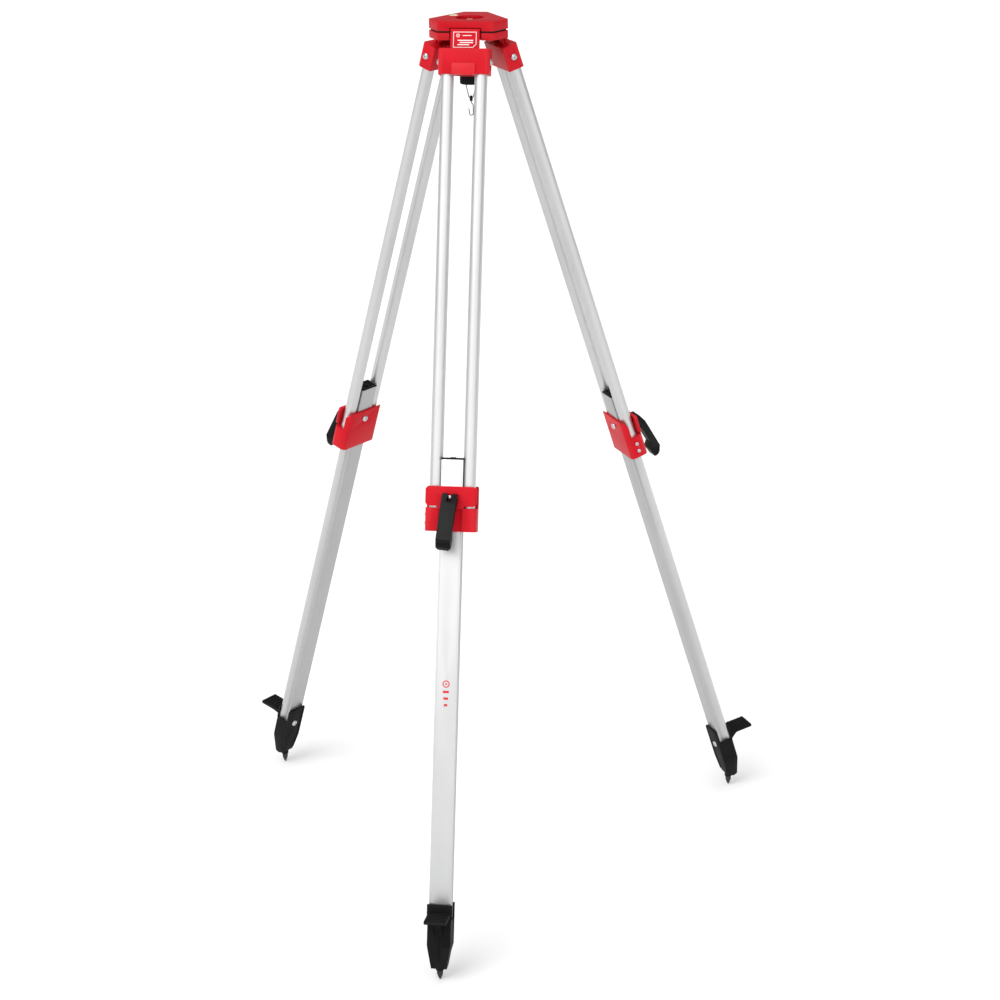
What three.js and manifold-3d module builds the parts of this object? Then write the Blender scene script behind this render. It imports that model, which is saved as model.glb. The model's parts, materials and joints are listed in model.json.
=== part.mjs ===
// Surveyor tripod with a hexagonal head, twin-tube upper legs and sliding lower legs.
// Millimetres, +Z up. Origin on the ground, centred under the bounding box. The front leg points to -Y.
import * as THREE from 'three';
import { mergeVertices } from 'three/addons/utils/BufferGeometryUtils.js';
import Module from 'manifold-3d';

const wasm = await Module();
wasm.setup();

// Head, heights above the ground
const HEAD_TOP = 1650;
const PLATE_THICKNESS = 16.8;
const PLATE_LEG_SIDE = 54.4;
const PLATE_SHORT_SIDE = 71.2;
const PLATE_CORNER = 3;
const HEAD_BORE = 26;
const TONGUE_NOTCH_WIDTH = 58;
const TONGUE_NOTCH_INNER = 48.8;
const TONGUE_NOTCH_HEIGHT = 6;
const GASKET_GAP = 3.4;
const GASKET_INSET = 3;
const FRAME_THICKNESS = 12.9;
const FRAME_BORE = 30;
const FIT = 0.3;

// Bullseye vial in the plate
const VIAL_AZIMUTH = 141.5;
const VIAL_OFFSET = 43;
const VIAL_RADIUS = 9;
const VIAL_DEPTH = 8.5;
const VIAL_WALL = 1.5;

// Centring screw, its swinging arm and the plumb hook
const ARM_PIVOT_OFFSET = 50;
const ARM_THICKNESS = 7;
const ARM_END_RADIUS = 9;
const ARM_SCREW_RADIUS = 3.5;
const HUB_RADIUS = 16;
const HUB_BOTTOM = 1548;
const SCREW_RADIUS = 7.9;
const SCREW_TOP = 1647;
const SCREW_BOTTOM = 1532.5;
const KNOB_RADIUS = 20;
const KNOB_BOTTOM = 1531.3;
const KNOB_RIBS = 16;
const KNOB_POCKET_RADIUS = 13.5;
const KNOB_POCKET_DEPTH = 7;
const BAIL_HEIGHT = 1535;
const BAIL_HALF_WIDTH = 10.9;
const BAIL_APEX = 1506;
const BAIL_APEX_HALF = 3.8;
const WIRE_RADIUS = 0.9;
const WIRE_FIT = 0.8;
const SWIVEL_RADIUS = 2.8;
const SWIVEL_BOTTOM = 1499.5;
const HOOK_BOTTOM = 1472;

// Leg hinge
const PIVOT_RADIUS = 66.1;
const PIVOT_HEIGHT = 1580.7;
const SPLAY = THREE.MathUtils.degToRad(17.8);
const LUG_INNER = 15.5;
const LUG_OUTER = 23.5;
const LUG_BACK = -6;
const LUG_FRONT = 0.2;
const LUG_EYE = 7.5;
const LUG_TOP = 48;
const HINGE_BOLT_RADIUS = 4;

// Bracket at the top of each leg; s runs down the leg from the hinge, n points outward
const BRACKET_TOP = -22;
const BRACKET_BOTTOM = 23;
const BRACKET_HALF_WIDTH = 46.5;
const BRACKET_INNER = -16;
const BRACKET_OUTER = 15;
const TONGUE_HALF_WIDTH = 26;
const TONGUE_TOP = -57.5;
const TONGUE_FACE = 6.3;
const TONGUE_THICKNESS = 5.5;
const BADGE_HALF_WIDTH = 21;
const BADGE_TOP = 4;
const BRACKET_POCKET = { half: 15, inner: -12, outer: 11, top: -16 };
const TUBE_TOP = 12.5;
const SPIGOT_END = 60;

// Upper leg tubes
const TUBE_SPACING = 30.3;
const TUBE_RADIUS = 11.5;
const TUBE_WALL = 1.3;
const TUBE_END = 833;

// Clamp body
const CLAMP_TOP = 757;
const CLAMP_BOTTOM = 838;
const CLAMP_HALF_WIDTH = 47;
const CLAMP_INNER = -16.5;
const CLAMP_OUTER = 20;
const CLAMP_CORNERS = { flap: 6, sleeve: 11, inner: 9 };
const CLAMP_SLIT = 792.5;
const CLAMP_SEAT = 796;
const SLIT_INNER = 24;
const JAW_BACK = 14;
const WINDOW_INNER = -5;
const BAND_CHAMFER = 5.5;
const RECESS_HALF_WIDTH = 19;
const RECESS_FLOOR = 14.6;
const RECESS_FLARE = 3.5;
const PASSAGE_FIT = 0.6;
const ADJUSTER_RADIUS = 3.9;

// Cam lever, its stud and the brake shoe
const LEVER_PIVOT_S = 775.5;
const LEVER_PIVOT_N = 27.3;
const LEVER_HALF_WIDTH = 13.5;
const LEVER_FORK_HALF = 3.7;
const LEVER_SKEW = THREE.MathUtils.degToRad(4.5);
const CAM_RADIUS = 7;
const GRIP_GROOVES = 4;
const GRIP_END = 871;
const GRIP_CHAMFER = 4.5;
const STUD_RADIUS = 2.9;
const STUD_END = 32;
const SHOE_HALF_WIDTH = 15;
const SHOE_HALF_LENGTH = 9.5;
const SHOE_FACE = 12.6;
const SHOE_THICKNESS = 2.2;
const SHOE_POST_OFFSET = 9;
const SHOE_POST_RADIUS = 2.6;
const SHOE_POCKET = 16.2;

// Sliding lower leg
const LEG_HALF_WIDTH = 20;
const LEG_HALF_DEPTH = 12.3;
const LEG_GROOVE_RADIUS = 12.1;
const LEG_WALL = 1.8;
const LEG_TOP = 709;
const LEG_END = 1540.5;
const CAP_FLANGE = 2.5;
const CAP_PLUG = 14;
const CAP_DISH = 1.2;

// Foot
const FOOT_TOP = 1513;
const FOOT_HALF_WIDTH = 23;
const FOOT_INNER = -16.3;
const FOOT_OUTER = 16;
const FOOT_BOLT_S = 1550;
const FOOT_BOLT_RADIUS = 3.5;
const PEDAL_TOP = 1527;
const PEDAL_END = 66;
const PEDAL_HALF_WIDTH = 20;
const PEDAL_RIBS = 6;
const SPIKE_TIP_S = 1655.4;
const SPIKE_TIP_N = -16.4;
const SPIKE_RADIUS = 5.8;
const SPIKE_LENGTH = 44;
const SPIKE_CONE = 13;
const SPIKE_POINT = 1.2;

// Fastener heads
const BUTTON_RADIUS = 6.2;
const BUTTON_HEIGHT = 3.6;
const SIDE_SCREW_POSITIONS = { upper: 809.5, lower: 824.8 };
const SIDE_SCREW_N = 2.2;
const SIDE_SCREW_RADIUS = 1.5;

// Facets round the larger and the smaller turned pieces
const ROUND = 20;
const SMALL_ROUND = 12;

const LEGS = { front: 0, right: 120, left: 240 };

const PAINTS = {
  red: { color: 0xcf1b26, roughness: 0.45, metalness: 0.1 },
  aluminium: { color: 0xc9cbcc, roughness: 0.35, metalness: 0.9 },
  black: { color: 0x1c1c1e, roughness: 0.6, metalness: 0.0 },
  zinc: { color: 0xd0d4d8, roughness: 0.25, metalness: 1.0 },
  steel: { color: 0x5a5d60, roughness: 0.4, metalness: 1.0 },
  vial: { color: 0xd8e8b0, roughness: 0.1, metalness: 0.0 },
};

// ---------------------------------------------------------------- solids

function solidOf(geometry) {
  const plain = geometry.index ? geometry.toNonIndexed() : geometry.clone();
  plain.deleteAttribute('normal');
  plain.deleteAttribute('uv');
  const welded = mergeVertices(plain, 1e-4);
  const mesh = new wasm.Mesh({
    numProp: 3,
    vertProperties: new Float32Array(welded.attributes.position.array),
    triVerts: new Uint32Array(welded.index.array),
  });
  return new wasm.Manifold(mesh);
}

function geometryOf(solid) {
  const mesh = solid.getMesh();
  const geometry = new THREE.BufferGeometry();
  geometry.setAttribute('position', new THREE.BufferAttribute(new Float32Array(mesh.vertProperties), 3));
  geometry.setIndex(new THREE.BufferAttribute(new Uint32Array(mesh.triVerts), 1));
  return geometry;
}

function namedMesh(name, solid, paint) {
  const flat = geometryOf(solid).toNonIndexed();
  flat.computeVertexNormals();
  const mesh = new THREE.Mesh(flat, new THREE.MeshStandardMaterial(PAINTS[paint]));
  mesh.name = name;
  return mesh;
}

function block(x0, x1, y0, y1, z0, z1) {
  const geometry = new THREE.BoxGeometry(x1 - x0, y1 - y0, z1 - z0);
  geometry.translate((x0 + x1) / 2, (y0 + y1) / 2, (z0 + z1) / 2);
  return solidOf(geometry);
}

// Upright cylinder between two heights
function post(radius, z0, z1, x = 0, y = 0, sides = ROUND) {
  const geometry = new THREE.CylinderGeometry(radius, radius, z1 - z0, sides);
  geometry.rotateX(Math.PI / 2);
  geometry.translate(x, y, (z0 + z1) / 2);
  return solidOf(geometry);
}

function outline(points) {
  return new THREE.Shape(points.map(([x, y]) => new THREE.Vector2(x, y)));
}

function roundedRectangle(x0, x1, y0, y1, lowRadius, highRadius) {
  const shape = new THREE.Shape();
  shape.moveTo(x0 + lowRadius, y0);
  shape.absarc(x1 - lowRadius, y0 + lowRadius, lowRadius, -Math.PI / 2, 0);
  shape.absarc(x1 - highRadius, y1 - highRadius, highRadius, 0, Math.PI / 2);
  shape.absarc(x0 + highRadius, y1 - highRadius, highRadius, Math.PI / 2, Math.PI);
  shape.absarc(x0 + lowRadius, y0 + lowRadius, lowRadius, Math.PI, 1.5 * Math.PI);
  return shape;
}

function upright(shape, z0, z1, curveSegments = 4) {
  const geometry = new THREE.ExtrudeGeometry(shape, { depth: z1 - z0, bevelEnabled: false, curveSegments });
  geometry.translate(0, 0, z0);
  return solidOf(geometry);
}

// Shape drawn in (outward, down the leg), extruded across the leg from t0 to t1
function across(points, t0, t1) {
  const shape = outline(points.map(([s, n]) => [-n, -s]));
  const geometry = new THREE.ExtrudeGeometry(shape, { depth: t1 - t0, bevelEnabled: false });
  geometry.translate(0, 0, t0);
  const turn = new THREE.Matrix4().makeBasis(
    new THREE.Vector3(0, 1, 0),
    new THREE.Vector3(0, 0, 1),
    new THREE.Vector3(1, 0, 0),
  );
  geometry.applyMatrix4(turn);
  return solidOf(geometry);
}

// Leg-frame helpers: t across, n outward, s down the leg
function legBlock(t0, t1, n0, n1, s0, s1) {
  return block(t0, t1, -n1, -n0, -s1, -s0);
}

function legPost(radius, s0, s1, t = 0, n = 0, sides = ROUND) {
  return post(radius, -s1, -s0, t, -n, sides);
}

function rodAcross(radius, t0, t1, s, n, sides = SMALL_ROUND) {
  const geometry = new THREE.CylinderGeometry(radius, radius, t1 - t0, sides);
  geometry.rotateZ(Math.PI / 2);
  geometry.translate((t0 + t1) / 2, -n, -s);
  return solidOf(geometry);
}

function rodOutward(radius, n0, n1, s, t = 0, sides = SMALL_ROUND) {
  const geometry = new THREE.CylinderGeometry(radius, radius, n1 - n0, sides);
  geometry.translate(t, -(n0 + n1) / 2, -s);
  return solidOf(geometry);
}

// Button-headed screw along +Z: the head sits above z = 0, the shank below it
function buttonScrew(headRadius, headHeight, shankRadius, shankLength) {
  const profile = [
    [0, -shankLength],
    [shankRadius, -shankLength],
    [shankRadius, 0],
    [headRadius, 0],
    [headRadius, headHeight * 0.35],
    [headRadius * 0.72, headHeight * 0.85],
    [headRadius * 0.4, headHeight],
    [headRadius * 0.34, headHeight * 0.5],
    [0, headHeight * 0.5],
  ];
  return new THREE.LatheGeometry(profile.map(([r, z]) => new THREE.Vector2(r, z)), SMALL_ROUND);
}

function wire(points, radius, steps) {
  const corners = points.map((point) => new THREE.Vector3(...point));
  const route = new THREE.CatmullRomCurve3(corners, false, 'catmullrom', 0.1);
  const section = new THREE.Shape();
  section.absarc(0, 0, radius, 0, 2 * Math.PI);
  const geometry = new THREE.ExtrudeGeometry(section, { steps, extrudePath: route, curveSegments: 3 });
  return solidOf(geometry);
}

function turned(solid, degrees) {
  return solid.rotate([0, 0, degrees]);
}

function forEachLeg(makeSolid) {
  return Object.values(LEGS).map((degrees) => turned(makeSolid(), degrees));
}

// ---------------------------------------------------------------- head

// Hexagon with long sides facing the legs and short sides between them
function headOutline(inset) {
  const legSide = PLATE_LEG_SIDE - inset;
  const shortSide = PLATE_SHORT_SIDE - inset;
  const corners = [];
  for (let i = 0; i < 6; i += 1) {
    const azimuth = -Math.PI / 2 + (i * Math.PI) / 3;
    const here = i % 2 === 0 ? legSide : shortSide;
    const next = i % 2 === 0 ? shortSide : legSide;
    const along = (next - here * Math.cos(Math.PI / 3)) / Math.sin(Math.PI / 3);
    corners.push(new THREE.Vector2(
      here * Math.cos(azimuth) - along * Math.sin(azimuth),
      here * Math.sin(azimuth) + along * Math.cos(azimuth),
    ));
  }
  const shape = new THREE.Shape();
  corners.forEach((corner, i) => {
    const before = corners[(i + 5) % 6];
    const after = corners[(i + 1) % 6];
    const start = corner.clone().add(before.clone().sub(corner).setLength(PLATE_CORNER));
    const end = corner.clone().add(after.clone().sub(corner).setLength(PLATE_CORNER));
    if (i === 0) {
      shape.moveTo(start.x, start.y);
    } else {
      shape.lineTo(start.x, start.y);
    }
    shape.quadraticCurveTo(corner.x, corner.y, end.x, end.y);
  });
  return shape;
}

const plateBottom = HEAD_TOP - PLATE_THICKNESS;
const frameTop = plateBottom - GASKET_GAP;
const frameBottom = frameTop - FRAME_THICKNESS;

function vialPlace(solid) {
  const azimuth = THREE.MathUtils.degToRad(VIAL_AZIMUTH);
  return solid.translate([VIAL_OFFSET * Math.cos(azimuth), VIAL_OFFSET * Math.sin(azimuth), 0]);
}

// Space the leg tongue moves in, cut from the leg side of the plate, gasket and frame
function tongueNotch(z0, z1) {
  return block(-TONGUE_NOTCH_WIDTH / 2, TONGUE_NOTCH_WIDTH / 2, -80, -TONGUE_NOTCH_INNER, z0, z1);
}

function headPlate() {
  let plate = upright(headOutline(0), plateBottom, HEAD_TOP, 3);
  plate = plate.subtract(post(HEAD_BORE, plateBottom - 1, HEAD_TOP + 1, 0, 0, 2 * ROUND));
  for (const notch of forEachLeg(() => tongueNotch(plateBottom - 1, plateBottom + TONGUE_NOTCH_HEIGHT))) {
    plate = plate.subtract(notch);
  }
  return plate.subtract(vialPlace(post(VIAL_RADIUS + FIT, HEAD_TOP - VIAL_DEPTH - FIT, HEAD_TOP + 1)));
}

function headGasket() {
  let gasket = upright(headOutline(GASKET_INSET), frameTop + FIT, plateBottom - FIT, 2);
  gasket = gasket.subtract(post(FRAME_BORE, frameTop - 1, plateBottom + 1));
  for (const notch of forEachLeg(() => tongueNotch(frameTop - 1, plateBottom + 1))) {
    gasket = gasket.subtract(notch);
  }
  return gasket;
}

// A point of the leg frame, moved to the front leg's place in the splayed pose
function splayed(solid) {
  return solid.rotate([THREE.MathUtils.radToDeg(-SPLAY), 0, 0]).translate([0, -PIVOT_RADIUS, PIVOT_HEIGHT]);
}

function hingeLugs() {
  const strap = legBlock(LUG_INNER, LUG_OUTER, LUG_BACK, LUG_FRONT, -LUG_TOP, 0);
  const eye = rodAcross(LUG_EYE, LUG_INNER, LUG_OUTER, 0, 0);
  const lug = strap.add(eye);
  const pair = lug.add(lug.mirror([1, 0, 0]));
  return splayed(pair.subtract(rodAcross(HINGE_BOLT_RADIUS + FIT, -60, 60, 0, 0)));
}

function hingeFrame() {
  let frame = upright(headOutline(0), frameBottom, frameTop, 3);
  for (const notch of forEachLeg(() => tongueNotch(frameBottom - 1, frameTop + 1))) {
    frame = frame.subtract(notch);
  }
  for (const lugs of forEachLeg(hingeLugs)) {
    frame = frame.add(lugs);
  }
  const bore = post(FRAME_BORE, frameBottom - 20, frameTop + 1);
  const pivotHole = post(ARM_SCREW_RADIUS + FIT, frameBottom - 1, frameBottom + 9, 0, ARM_PIVOT_OFFSET);
  return frame.subtract(bore).subtract(pivotHole);
}

function vialHousing() {
  const cup = post(VIAL_RADIUS, HEAD_TOP - VIAL_DEPTH, HEAD_TOP - 0.2);
  return vialPlace(cup.subtract(post(VIAL_RADIUS - VIAL_WALL, HEAD_TOP - VIAL_DEPTH + VIAL_WALL, HEAD_TOP)));
}

function vialLens() {
  const radius = VIAL_RADIUS - VIAL_WALL - FIT;
  const floor = HEAD_TOP - VIAL_DEPTH + VIAL_WALL + FIT;
  const crown = HEAD_TOP - 1;
  const profile = [[0, floor], [radius, floor], [radius, crown - 0.6], [radius * 0.6, crown - 0.15], [0, crown]];
  const lens = new THREE.LatheGeometry(profile.map(([r, z]) => new THREE.Vector2(r, z)), ROUND);
  lens.rotateX(Math.PI / 2);
  return vialPlace(solidOf(lens));
}

const armTop = frameBottom - FIT;
const armBottom = armTop - ARM_THICKNESS;

function centringArm() {
  const arm = new THREE.Shape();
  arm.absarc(0, 0, HUB_RADIUS, Math.PI, 2 * Math.PI);
  arm.absarc(0, ARM_PIVOT_OFFSET, ARM_END_RADIUS, 0, Math.PI);
  arm.closePath();
  const body = upright(arm, armBottom, armTop, 8).add(post(HUB_RADIUS, HUB_BOTTOM, armTop));
  const bore = post(SCREW_RADIUS + FIT, HUB_BOTTOM - 1, armTop + 1);
  const pivotHole = post(ARM_SCREW_RADIUS + FIT, armBottom - 1, armTop + 1, 0, ARM_PIVOT_OFFSET);
  return body.subtract(bore).subtract(pivotHole);
}

function armPivotScrew() {
  const screw = buttonScrew(6.5, 3, ARM_SCREW_RADIUS, ARM_THICKNESS + 8);
  screw.rotateX(-Math.PI / 2);
  screw.translate(0, ARM_PIVOT_OFFSET, armBottom - FIT);
  return solidOf(screw);
}

function centringScrew() {
  const threadTop = SCREW_TOP - 3;
  const profile = [
    [0, SCREW_BOTTOM],
    [SCREW_RADIUS, SCREW_BOTTOM],
    [SCREW_RADIUS, threadTop],
    [SCREW_RADIUS - 2.4, SCREW_TOP],
    [0, SCREW_TOP],
  ];
  const screw = new THREE.LatheGeometry(profile.map(([r, z]) => new THREE.Vector2(r, z)), ROUND);
  screw.rotateX(Math.PI / 2);
  const eye = new THREE.CylinderGeometry(WIRE_RADIUS + WIRE_FIT, WIRE_RADIUS + WIRE_FIT, 30, SMALL_ROUND);
  eye.rotateZ(Math.PI / 2);
  eye.translate(0, 0, BAIL_HEIGHT);
  return solidOf(screw).subtract(solidOf(eye));
}

function centringKnob() {
  const top = HUB_BOTTOM - FIT;
  let knob = post(KNOB_RADIUS - 1.2, KNOB_BOTTOM, top);
  for (let i = 0; i < KNOB_RIBS; i += 1) {
    const rib = block(-1.6, 1.6, KNOB_RADIUS - 4, KNOB_RADIUS, KNOB_BOTTOM + 1, top - 1);
    knob = knob.add(turned(rib, (i * 360) / KNOB_RIBS));
  }
  const bore = post(SCREW_RADIUS + 0.05 + FIT, KNOB_BOTTOM - 1, top + 1);
  const pocket = post(KNOB_POCKET_RADIUS, KNOB_BOTTOM - 1, KNOB_BOTTOM + KNOB_POCKET_DEPTH);
  return knob.subtract(bore).subtract(pocket);
}

function plumbBail() {
  const pin = 3;
  return wire([
    [-pin, 0, BAIL_HEIGHT],
    [-BAIL_HALF_WIDTH, 0, BAIL_HEIGHT],
    [-BAIL_APEX_HALF, 0, BAIL_APEX],
    [BAIL_APEX_HALF, 0, BAIL_APEX],
    [BAIL_HALF_WIDTH, 0, BAIL_HEIGHT],
    [pin, 0, BAIL_HEIGHT],
  ], WIRE_RADIUS, 34);
}

function bailSwivel() {
  const body = post(SWIVEL_RADIUS, SWIVEL_BOTTOM, BAIL_APEX + 2.8);
  const eye = new THREE.CylinderGeometry(WIRE_RADIUS + WIRE_FIT, WIRE_RADIUS + WIRE_FIT, 10, SMALL_ROUND);
  eye.rotateZ(Math.PI / 2);
  eye.translate(0, 0, BAIL_APEX);
  const socket = post(WIRE_RADIUS + FIT, SWIVEL_BOTTOM - 1, SWIVEL_BOTTOM + 4, 0, 0, SMALL_ROUND);
  return body.subtract(solidOf(eye)).subtract(socket);
}

function plumbHook() {
  const bend = 3.4;
  const points = [[0, 0, SWIVEL_BOTTOM + 3.6], [0, 0, SWIVEL_BOTTOM - 3], [bend, 0, SWIVEL_BOTTOM - 7]];
  for (let i = 0; i <= 8; i += 1) {
    const angle = -(Math.PI * 0.94 * i) / 8;
    points.push([bend * Math.cos(angle), 0, HOOK_BOTTOM + bend + WIRE_RADIUS + bend * Math.sin(angle)]);
  }
  points.push([-bend - 1.4, 0, HOOK_BOTTOM + 13]);
  return wire(points, WIRE_RADIUS, 28);
}

// ---------------------------------------------------------------- leg pieces

function bothTubes(radius, s0, s1, sides = ROUND) {
  return legPost(radius, s0, s1, -TUBE_SPACING, 0, sides).add(legPost(radius, s0, s1, TUBE_SPACING, 0, sides));
}

function bracket() {
  const section = roundedRectangle(-BRACKET_HALF_WIDTH, BRACKET_HALF_WIDTH, -BRACKET_OUTER, -BRACKET_INNER, 8, 3);
  let body = upright(section, -BRACKET_BOTTOM, -BRACKET_TOP, 3);
  body = body.add(legBlock(
    -BADGE_HALF_WIDTH,
    BADGE_HALF_WIDTH,
    BRACKET_OUTER - 1,
    BRACKET_OUTER + 3,
    BADGE_TOP,
    BRACKET_BOTTOM + 1.5,
  ));
  body = body.subtract(bothTubes(TUBE_RADIUS + FIT, TUBE_TOP - FIT, BRACKET_BOTTOM + 1));
  const { half, inner, outer, top } = BRACKET_POCKET;
  body = body.subtract(legBlock(-half, half, inner, outer, top, BRACKET_BOTTOM + 5));
  const slot = legBlock(LUG_INNER - 0.5, LUG_OUTER + 0.5, -14, 9.5, BRACKET_TOP - 1, LUG_EYE + 1);
  body = body.subtract(slot).subtract(slot.mirror([1, 0, 0]));
  body = body.add(bothTubes(TUBE_RADIUS - TUBE_WALL - FIT, LUG_EYE + 3, SPIGOT_END, SMALL_ROUND));
  const tongueBack = TONGUE_FACE - TONGUE_THICKNESS;
  body = body.add(legBlock(-TONGUE_HALF_WIDTH, TONGUE_HALF_WIDTH, tongueBack, TONGUE_FACE, TONGUE_TOP, -18));
  return body.subtract(rodAcross(HINGE_BOLT_RADIUS + FIT, -60, 60, 0, 0));
}

function hingeBolt() {
  const head = BRACKET_HALF_WIDTH + FIT;
  const profile = [
    [0, -head - BUTTON_HEIGHT],
    [BUTTON_RADIUS * 0.6, -head - BUTTON_HEIGHT],
    [BUTTON_RADIUS, -head - BUTTON_HEIGHT * 0.45],
    [BUTTON_RADIUS, -head],
    [HINGE_BOLT_RADIUS, -head],
    [HINGE_BOLT_RADIUS, head],
    [BUTTON_RADIUS, head],
    [BUTTON_RADIUS, head + BUTTON_HEIGHT * 0.45],
    [BUTTON_RADIUS * 0.6, head + BUTTON_HEIGHT],
    [0, head + BUTTON_HEIGHT],
  ];
  const bolt = new THREE.LatheGeometry(profile.map(([r, z]) => new THREE.Vector2(r, z)), SMALL_ROUND);
  bolt.rotateZ(-Math.PI / 2);
  return solidOf(bolt);
}

function tube(side) {
  const outer = legPost(TUBE_RADIUS, TUBE_TOP, TUBE_END, side * TUBE_SPACING);
  return outer.subtract(legPost(TUBE_RADIUS - TUBE_WALL, TUBE_TOP - 1, TUBE_END + 1, side * TUBE_SPACING));
}

// Flat box section whose sides are hollowed to pass along the tubes
function legSection(clearance) {
  const halfWidth = LEG_HALF_WIDTH + clearance;
  const halfDepth = LEG_HALF_DEPTH + clearance;
  const groove = LEG_GROOVE_RADIUS - clearance;
  const reach = Math.acos((TUBE_SPACING - halfWidth) / groove);
  const shape = new THREE.Shape();
  shape.moveTo(-halfWidth, -halfDepth);
  shape.lineTo(halfWidth, -halfDepth);
  shape.absarc(TUBE_SPACING, 0, groove, Math.PI + reach, Math.PI - reach, true);
  shape.lineTo(halfWidth, halfDepth);
  shape.lineTo(-halfWidth, halfDepth);
  shape.absarc(-TUBE_SPACING, 0, groove, reach, -reach, true);
  shape.closePath();
  return shape;
}

function lowerLeg() {
  const outer = upright(legSection(0), -LEG_END, -LEG_TOP, 6);
  const halfDepth = LEG_HALF_DEPTH - LEG_WALL;
  const halfWidth = TUBE_SPACING - LEG_GROOVE_RADIUS - LEG_WALL;
  return outer.subtract(legBlock(-halfWidth, halfWidth, -halfDepth, halfDepth, LEG_TOP - 1, LEG_END + 1));
}

function plugBlock(s0, s1) {
  const halfDepth = LEG_HALF_DEPTH - LEG_WALL - FIT;
  const halfWidth = TUBE_SPACING - LEG_GROOVE_RADIUS - LEG_WALL - FIT;
  return legBlock(-halfWidth, halfWidth, -halfDepth, halfDepth, s0, s1);
}

function endCap() {
  const top = LEG_TOP - FIT - CAP_FLANGE;
  const flange = upright(legSection(0), -(LEG_TOP - FIT), -top, 6);
  const cap = flange.add(plugBlock(LEG_TOP - 1, LEG_TOP + CAP_PLUG));
  const dish = upright(roundedRectangle(-14, 14, -8, 8, 4, 4), -(top + CAP_DISH), -top + 1);
  return cap.subtract(dish).add(legPost(5, top - CAP_DISH, top + CAP_FLANGE));
}

function clampBody() {
  const half = CLAMP_HALF_WIDTH;
  const { flap, sleeve, inner } = CLAMP_CORNERS;
  const upper = roundedRectangle(-half, half, -CLAMP_OUTER, -CLAMP_INNER, flap, inner);
  const lower = roundedRectangle(-half, half, -CLAMP_OUTER, -CLAMP_INNER, sleeve, inner);
  let body = upright(upper, -CLAMP_SEAT, -CLAMP_TOP, 3).add(upright(lower, -CLAMP_BOTTOM, -CLAMP_SEAT, 3));
  const passWidth = LEG_HALF_WIDTH + PASSAGE_FIT;
  const passDepth = LEG_HALF_DEPTH + PASSAGE_FIT;
  body = body.subtract(legBlock(-passWidth, passWidth, -passDepth, passDepth, CLAMP_TOP - 1, CLAMP_BOTTOM + 1));
  body = body.subtract(bothTubes(TUBE_RADIUS + FIT, CLAMP_TOP - 1, TUBE_END + FIT));
  const far = CLAMP_HALF_WIDTH + 3;
  const above = CLAMP_TOP - 1;
  const window = legBlock(TUBE_SPACING, far, WINDOW_INNER, JAW_BACK, above, CLAMP_SEAT);
  const slit = legBlock(SLIT_INNER, far, 10, CLAMP_OUTER + 1, CLAMP_SLIT, CLAMP_SEAT);
  const wingChamfer = across(
    [[above, CLAMP_INNER + 2], [CLAMP_TOP + 10, WINDOW_INNER], [CLAMP_TOP + 10, 0], [above, 0]],
    TUBE_SPACING,
    far,
  );
  // Cuts one end corner of the flap; direction 1 at its top edge, -1 at its bottom edge
  const flapCorner = (s, direction) => {
    const margin = 1;
    const edge = -s + direction * margin;
    const points = [
      [CLAMP_HALF_WIDTH - BAND_CHAMFER - margin, edge],
      [CLAMP_HALF_WIDTH + margin, edge],
      [CLAMP_HALF_WIDTH + margin, -s - direction * (BAND_CHAMFER + margin)],
    ];
    const prism = new THREE.ExtrudeGeometry(
      outline(direction > 0 ? [...points].reverse() : points),
      { depth: CLAMP_OUTER - JAW_BACK + 2 * margin, bevelEnabled: false },
    );
    prism.rotateX(Math.PI / 2);
    prism.translate(0, -JAW_BACK + margin, 0);
    return solidOf(prism);
  };
  for (const cut of [window, slit, wingChamfer, flapCorner(CLAMP_TOP, 1), flapCorner(CLAMP_SLIT, -1)]) {
    body = body.subtract(cut).subtract(cut.mirror([1, 0, 0]));
  }
  body = body.subtract(legBlock(-far, far, 12, JAW_BACK, above, CLAMP_SEAT));
  const mouth = RECESS_HALF_WIDTH + RECESS_FLARE;
  const recess = outline([
    [-mouth, -CLAMP_OUTER - 1],
    [mouth, -CLAMP_OUTER - 1],
    [mouth, -CLAMP_OUTER],
    [RECESS_HALF_WIDTH, -CLAMP_OUTER + RECESS_FLARE],
    [RECESS_HALF_WIDTH, -RECESS_FLOOR],
    [-RECESS_HALF_WIDTH, -RECESS_FLOOR],
    [-RECESS_HALF_WIDTH, -CLAMP_OUTER + RECESS_FLARE],
    [-mouth, -CLAMP_OUTER],
  ]);
  body = body.subtract(upright(recess, -CLAMP_BOTTOM - 1, -CLAMP_SEAT - 1));
  const pocketHalf = SHOE_HALF_WIDTH + 0.5;
  const pocketLength = SHOE_HALF_LENGTH + 0.5;
  body = body.subtract(legBlock(
    -pocketHalf,
    pocketHalf,
    12,
    SHOE_POCKET,
    LEVER_PIVOT_S - pocketLength,
    LEVER_PIVOT_S + pocketLength,
  ));
  for (const t of [-SHOE_POST_OFFSET, SHOE_POST_OFFSET]) {
    body = body.subtract(rodOutward(SHOE_POST_RADIUS + FIT, 12, CLAMP_OUTER + 1, LEVER_PIVOT_S, t, 10));
  }
  body = body.subtract(rodOutward(STUD_RADIUS + FIT, 12, CLAMP_OUTER + 1, LEVER_PIVOT_S));
  body = body.subtract(rodOutward(ADJUSTER_RADIUS + FIT, CLAMP_INNER - 1, -12, LEVER_PIVOT_S));
  for (const s of Object.values(SIDE_SCREW_POSITIONS)) {
    body = body.subtract(rodAcross(SIDE_SCREW_RADIUS + FIT, -far, -TUBE_SPACING, s, SIDE_SCREW_N, 10));
  }
  return body;
}

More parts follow.
